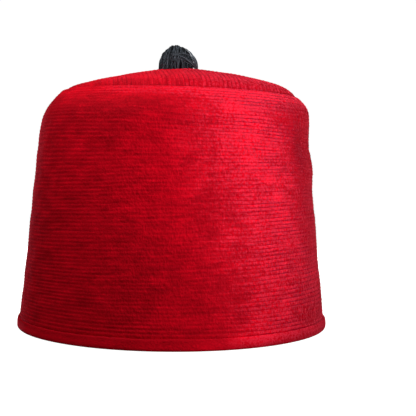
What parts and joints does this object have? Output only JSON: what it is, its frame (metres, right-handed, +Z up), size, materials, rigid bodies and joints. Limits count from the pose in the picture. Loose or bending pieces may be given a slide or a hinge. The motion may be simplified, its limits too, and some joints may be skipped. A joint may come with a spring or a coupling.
{
  "type": "fez hat",
  "caption": "Round tapered hat of quilted cloth with a domed top, bound rim and a tassel folded over the back, open below for the head.",
  "frame": {"origin": "centre of the round rim, at the level of the surface the hat stands on", "axes": "+Z up through the top of the hat, -Y to its front, +Y to its back, where the tassel hangs, +X to the right as seen from the front"},
  "size_m": [0.1934, 0.1959, 0.1772],
  "materials": {
    "side_velvet": "red velvet, stitched in close rows",
    "top_velvet": "red velvet, stitched in parallel rows",
    "hem_velvet": "plain red velvet binding",
    "tassel_rayon": "glossy black rayon strands"
  },
  "bodies": {
    "root": {"crown_wall": "side_velvet", "crown_top": "top_velvet", "hem_band": "hem_velvet", "tassel": "tassel_rayon"}
  },
  "joints": []
}
